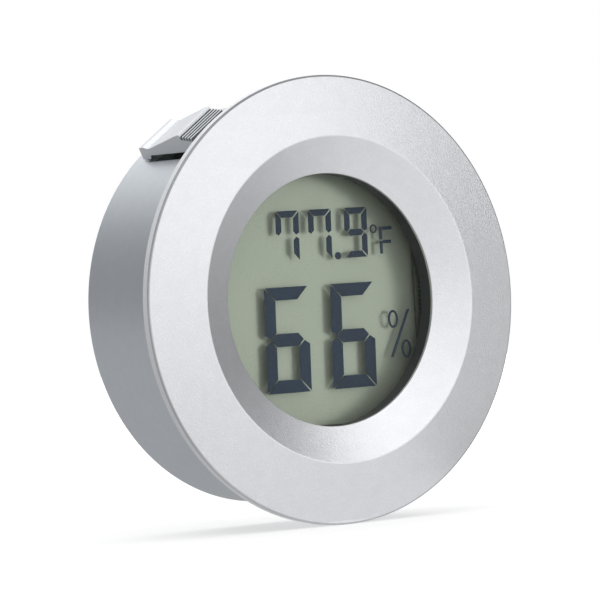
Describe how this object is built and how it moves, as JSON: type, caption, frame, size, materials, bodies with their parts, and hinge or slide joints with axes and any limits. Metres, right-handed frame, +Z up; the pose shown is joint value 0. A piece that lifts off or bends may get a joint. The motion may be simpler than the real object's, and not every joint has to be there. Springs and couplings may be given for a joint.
{
  "type": "digital thermo-hygrometer",
  "caption": "Round silver panel-mount digital thermometer and hygrometer: wide flange, recessed LCD, short barrel with two snap clips, rear battery door and unit button.",
  "frame": {"origin": "on the axis, in the plane of the flange's rear face that lies on the panel", "axes": "+Y along the barrel's axis from the front to the back, +Z up, +X to the right as seen from the front"},
  "size_m": [0.045, 0.0156, 0.045],
  "materials": {
    "satin_silver": "sandblasted satin silver",
    "black_ring": "matte",
    "polarizer": "satin",
    "lcd_glass": "clear",
    "lcd_seal": "matte",
    "lcd_ink": "matte",
    "reflector": "satin grey-green",
    "white_plastic": "matte",
    "zebra": "matte",
    "board": "solder mask",
    "screw_steel": "zinc plated",
    "epoxy": "glossy epoxy",
    "can_metal": "bright",
    "ceramic": "matte",
    "switch_black": "matte",
    "switch_red": "matte",
    "sensor_plate": "ceramic with comb electrodes",
    "barrel_silver": "satin silver",
    "cover_silver": "satin silver",
    "nickel": "nickel plated",
    "cell_steel": "drawn steel",
    "button_grey": "matte",
    "clip_silver": "satin silver"
  },
  "bodies": {
    "housing": {"bezel": "satin_silver", "window_ring": "black_ring", "lcd_polarizer": "polarizer", "lcd_front_glass": "lcd_glass", "lcd_seal": "lcd_seal", "digits_temperature": "lcd_ink", "digits_humidity": "lcd_ink", "lcd_symbols": "lcd_ink", "lcd_rear_glass": "lcd_glass", "lcd_reflector": "reflector", "lcd_frame": "white_plastic", "zebra_strip": "zebra", "circuit_board": "board", "pcb_screw_1": "screw_steel", "pcb_screw_2": "screw_steel", "pcb_screw_3": "screw_steel", "chip_cover": "epoxy", "crystal": "can_metal", "capacitor_1": "ceramic", "capacitor_2": "ceramic", "capacitor_3": "ceramic", "tact_switch": "switch_black", "humidity_sensor": "sensor_plate", "thermistor": "epoxy", "barrel": "barrel_silver", "back_cover": "cover_silver", "back_screw_1": "screw_steel", "back_screw_2": "screw_steel", "contact_plus": "nickel", "contact_minus": "nickel", "cell_left": "cell_steel", "cell_right": "cell_steel"},
    "door": {"battery_door": "cover_silver", "door_contact": "nickel"},
    "unit_button": {"unit_button": "button_grey", "switch_plunger": "switch_red"},
    "clip_upper": {"snap_clip_upper": "clip_silver"},
    "clip_lower": {"snap_clip_lower": "clip_silver"}
  },
  "joints": [
    {"name": "clip_upper_flex", "type": "hinge", "parent": "housing", "child": "clip_upper", "pos_m": [-0.01127, 0.0108, 0.0161], "axis": [0.8192, 0, 0.5736], "range_deg": [0, 6], "stiffness_Nm_per_rad": 0.25},
    {"name": "clip_lower_flex", "type": "hinge", "parent": "housing", "child": "clip_lower", "pos_m": [0.01127, 0.0108, -0.0161], "axis": [-0.8192, 0, -0.5736], "range_deg": [0, 6], "stiffness_Nm_per_rad": 0.25},
    {"name": "door_hinge", "type": "hinge", "parent": "housing", "child": "door", "pos_m": [0, 0.01265, 0.0006], "axis": [1, 0, 0], "range_deg": [0, 95]},
    {"name": "button_press", "type": "slide", "parent": "housing", "child": "unit_button", "axis": [0, -1, 0], "range_m": [0, 0.0006], "stiffness_N_per_m": 2000}
  ]
}
